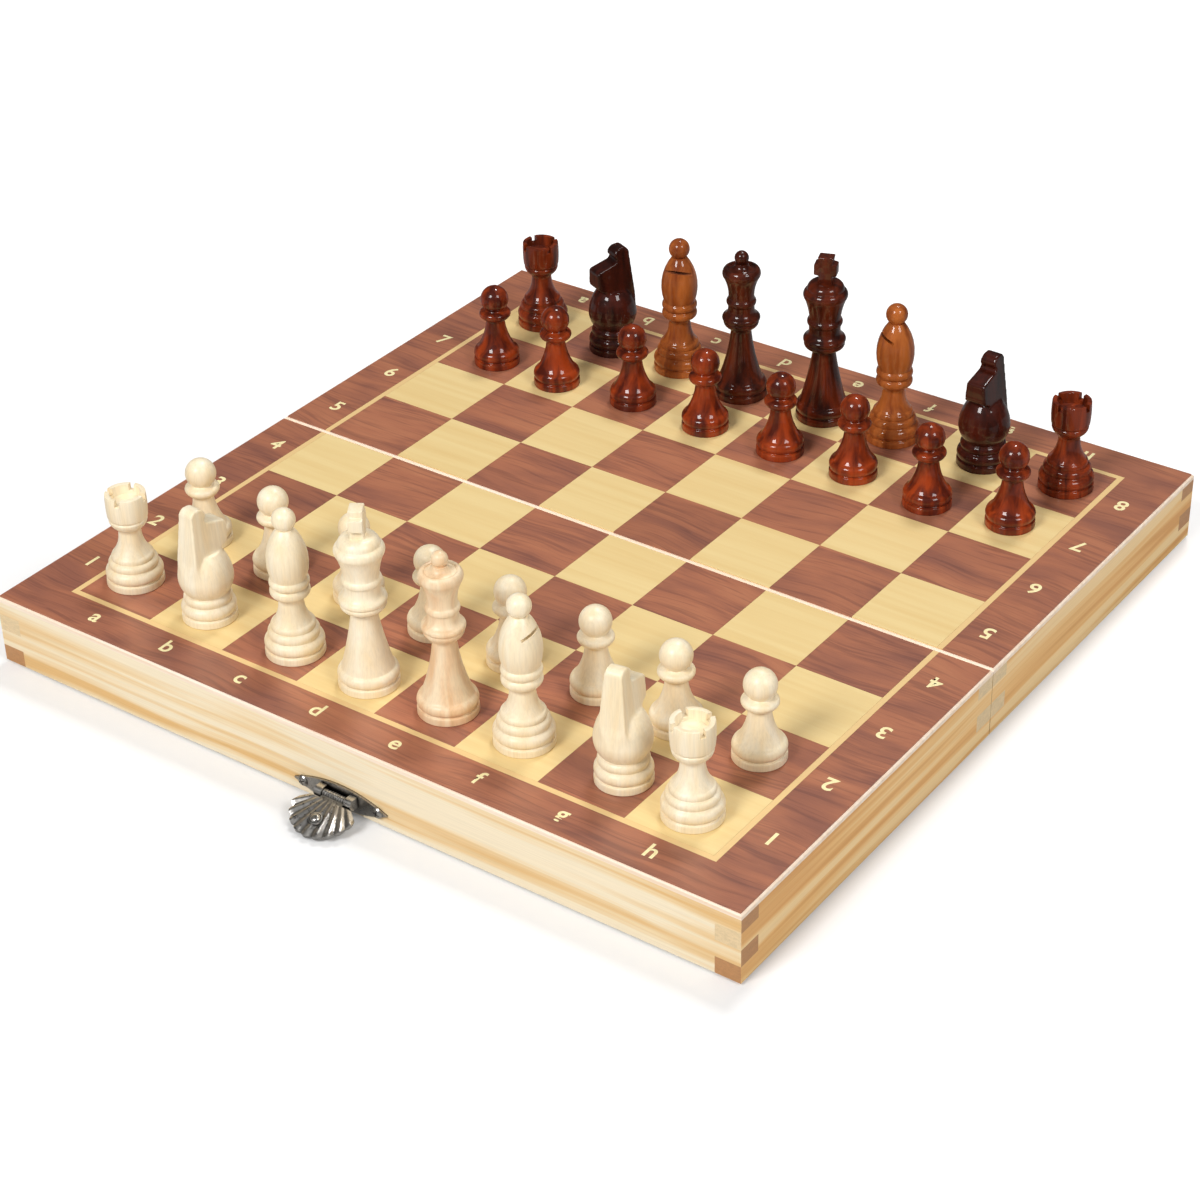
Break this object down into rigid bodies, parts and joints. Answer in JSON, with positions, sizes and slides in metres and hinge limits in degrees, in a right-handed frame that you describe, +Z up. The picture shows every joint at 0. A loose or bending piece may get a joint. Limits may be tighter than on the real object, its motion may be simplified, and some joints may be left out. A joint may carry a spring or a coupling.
{
  "type": "magnetic folding chess set",
  "caption": "Folding chess board that shuts into a shallow case, with a shell-shaped latch and turned magnetic chessmen set out for play.",
  "frame": {"origin": "where the fold line crosses the middle of the board, in the plane of the case's rims, which is the table when the board lies open", "axes": "+X along the fold from file a to file h, +Y from rank 1 to rank 8, +Z up through the playing surface"},
  "size_m": [0.28, 0.2951, 0.0858],
  "materials": {
    "pine": "satin lacquer",
    "panel": "satin lacquer",
    "dark_veneer": "satin lacquer",
    "light_veneer": "satin lacquer",
    "white_men": "satin lacquer",
    "black_men": "gloss lacquer",
    "latch_metal": "antique silver plate",
    "hinge_metal": "brass plate",
    "steel": "plain sheet",
    "felt": "felt"
  },
  "bodies": {
    "front_half": {"front_outer_rail": "pine", "front_hinge_rail": "pine", "front_left_rail": "pine", "front_right_rail": "pine", "front_panel": "panel", "front_dark_veneer": "dark_veneer", "front_light_veneer": "light_veneer", "front_steel_sheet": "steel", "front_lining": "felt", "front_hinge_leaves": "hinge_metal", "hinge_pins": "hinge_metal", "latch_plate": "latch_metal", "latch_pin": "latch_metal"},
    "rear_half": {"rear_outer_rail": "pine", "rear_hinge_rail": "pine", "rear_left_rail": "pine", "rear_right_rail": "pine", "rear_panel": "panel", "rear_dark_veneer": "dark_veneer", "rear_light_veneer": "light_veneer", "rear_steel_sheet": "steel", "rear_lining": "felt", "rear_hinge_leaves": "hinge_metal", "latch_keeper": "latch_metal"},
    "latch_lever": {"latch_lever": "latch_metal"},
    "white_rook_a": {"white_rook_a": "white_men"},
    "white_knight_b": {"white_knight_b": "white_men"},
    "white_bishop_c": {"white_bishop_c": "white_men"},
    "white_bishop_f": {"white_bishop_f": "white_men"},
    "white_knight_g": {"white_knight_g": "white_men"},
    "white_rook_h": {"white_rook_h": "white_men"},
    "white_pawn_a": {"white_pawn_a": "white_men"},
    "white_pawn_b": {"white_pawn_b": "white_men"},
    "white_pawn_c": {"white_pawn_c": "white_men"},
    "white_pawn_d": {"white_pawn_d": "white_men"},
    "white_pawn_e": {"white_pawn_e": "white_men"},
    "white_pawn_f": {"white_pawn_f": "white_men"},
    "white_pawn_g": {"white_pawn_g": "white_men"},
    "white_pawn_h": {"white_pawn_h": "white_men"},
    "black_rook_a": {"black_rook_a": "black_men"},
    "black_knight_b": {"black_knight_b": "black_men"},
    "black_bishop_c": {"black_bishop_c": "black_men"},
    "black_bishop_f": {"black_bishop_f": "black_men"},
    "black_knight_g": {"black_knight_g": "black_men"},
    "black_rook_h": {"black_rook_h": "black_men"},
    "black_pawn_a": {"black_pawn_a": "black_men"},
    "black_pawn_b": {"black_pawn_b": "black_men"},
    "black_pawn_c": {"black_pawn_c": "black_men"},
    "black_pawn_d": {"black_pawn_d": "black_men"},
    "black_pawn_e": {"black_pawn_e": "black_men"},
    "black_pawn_f": {"black_pawn_f": "black_men"},
    "black_pawn_g": {"black_pawn_g": "black_men"},
    "black_pawn_h": {"black_pawn_h": "black_men"},
    "white_king_d": {"white_king_d": "white_men"},
    "white_queen_e": {"white_queen_e": "white_men"},
    "black_queen_d": {"black_queen_d": "black_men"},
    "black_king_e": {"black_king_e": "black_men"}
  },
  "joints": [
    {"name": "board_fold", "type": "hinge", "parent": "front_half", "child": "rear_half", "pos_m": [0, 0, 0], "axis": [-1, 0, 0], "range_deg": [0, 180]},
    {"name": "latch_swing", "type": "hinge", "parent": "front_half", "child": "latch_lever", "pos_m": [0, -0.14065, 0.0054], "axis": [-1, 0, 0], "range_deg": [-74, 105]},
    {"name": "white_rook_a_lift", "type": "slide", "parent": "front_half", "child": "white_rook_a", "axis": [0, 0, 1], "range_m": [0, 0.12]},
    {"name": "white_knight_b_lift", "type": "slide", "parent": "front_half", "child": "white_knight_b", "axis": [0, 0, 1], "range_m": [0, 0.12]},
    {"name": "white_bishop_c_lift", "type": "slide", "parent": "front_half", "child": "white_bishop_c", "axis": [0, 0, 1], "range_m": [0, 0.12]},
    {"name": "white_bishop_f_lift", "type": "slide", "parent": "front_half", "child": "white_bishop_f", "axis": [0, 0, 1], "range_m": [0, 0.12]},
    {"name": "white_knight_g_lift", "type": "slide", "parent": "front_half", "child": "white_knight_g", "axis": [0, 0, 1], "range_m": [0, 0.12]},
    {"name": "white_rook_h_lift", "type": "slide", "parent": "front_half", "child": "white_rook_h", "axis": [0, 0, 1], "range_m": [0, 0.12]},
    {"name": "white_pawn_a_lift", "type": "slide", "parent": "front_half", "child": "white_pawn_a", "axis": [0, 0, 1], "range_m": [0, 0.12]},
    {"name": "white_pawn_b_lift", "type": "slide", "parent": "front_half", "child": "white_pawn_b", "axis": [0, 0, 1], "range_m": [0, 0.12]},
    {"name": "white_pawn_c_lift", "type": "slide", "parent": "front_half", "child": "white_pawn_c", "axis": [0, 0, 1], "range_m": [0, 0.12]},
    {"name": "white_pawn_d_lift", "type": "slide", "parent": "front_half", "child": "white_pawn_d", "axis": [0, 0, 1], "range_m": [0, 0.12]},
    {"name": "white_pawn_e_lift", "type": "slide", "parent": "front_half", "child": "white_pawn_e", "axis": [0, 0, 1], "range_m": [0, 0.12]},
    {"name": "white_pawn_f_lift", "type": "slide", "parent": "front_half", "child": "white_pawn_f", "axis": [0, 0, 1], "range_m": [0, 0.12]},
    {"name": "white_pawn_g_lift", "type": "slide", "parent": "front_half", "child": "white_pawn_g", "axis": [0, 0, 1], "range_m": [0, 0.12]},
    {"name": "white_pawn_h_lift", "type": "slide", "parent": "front_half", "child": "white_pawn_h", "axis": [0, 0, 1], "range_m": [0, 0.12]},
    {"name": "black_rook_a_lift", "type": "slide", "parent": "rear_half", "child": "black_rook_a", "axis": [0, 0, 1], "range_m": [0, 0.12]},
    {"name": "black_knight_b_lift", "type": "slide", "parent": "rear_half", "child": "black_knight_b", "axis": [0, 0, 1], "range_m": [0, 0.12]},
    {"name": "black_bishop_c_lift", "type": "slide", "parent": "rear_half", "child": "black_bishop_c", "axis": [0, 0, 1], "range_m": [0, 0.12]},
    {"name": "black_bishop_f_lift", "type": "slide", "parent": "rear_half", "child": "black_bishop_f", "axis": [0, 0, 1], "range_m": [0, 0.12]},
    {"name": "black_knight_g_lift", "type": "slide", "parent": "rear_half", "child": "black_knight_g", "axis": [0, 0, 1], "range_m": [0, 0.12]},
    {"name": "black_rook_h_lift", "type": "slide", "parent": "rear_half", "child": "black_rook_h", "axis": [0, 0, 1], "range_m": [0, 0.12]},
    {"name": "black_pawn_a_lift", "type": "slide", "parent": "rear_half", "child": "black_pawn_a", "axis": [0, 0, 1], "range_m": [0, 0.12]},
    {"name": "black_pawn_b_lift", "type": "slide", "parent": "rear_half", "child": "black_pawn_b", "axis": [0, 0, 1], "range_m": [0, 0.12]},
    {"name": "black_pawn_c_lift", "type": "slide", "parent": "rear_half", "child": "black_pawn_c", "axis": [0, 0, 1], "range_m": [0, 0.12]},
    {"name": "black_pawn_d_lift", "type": "slide", "parent": "rear_half", "child": "black_pawn_d", "axis": [0, 0, 1], "range_m": [0, 0.12]},
    {"name": "black_pawn_e_lift", "type": "slide", "parent": "rear_half", "child": "black_pawn_e", "axis": [0, 0, 1], "range_m": [0, 0.12]},
    {"name": "black_pawn_f_lift", "type": "slide", "parent": "rear_half", "child": "black_pawn_f", "axis": [0, 0, 1], "range_m": [0, 0.12]},
    {"name": "black_pawn_g_lift", "type": "slide", "parent": "rear_half", "child": "black_pawn_g", "axis": [0, 0, 1], "range_m": [0, 0.12]},
    {"name": "black_pawn_h_lift", "type": "slide", "parent": "rear_half", "child": "black_pawn_h", "axis": [0, 0, 1], "range_m": [0, 0.12]},
    {"name": "white_king_d_lift", "type": "slide", "parent": "front_half", "child": "white_king_d", "axis": [0, 0, 1], "range_m": [0, 0.12]},
    {"name": "white_queen_e_lift", "type": "slide", "parent": "front_half", "child": "white_queen_e", "axis": [0, 0, 1], "range_m": [0, 0.12]},
    {"name": "black_queen_d_lift", "type": "slide", "parent": "rear_half", "child": "black_queen_d", "axis": [0, 0, 1], "range_m": [0, 0.12]},
    {"name": "black_king_e_lift", "type": "slide", "parent": "rear_half", "child": "black_king_e", "axis": [0, 0, 1], "range_m": [0, 0.12]}
  ]
}
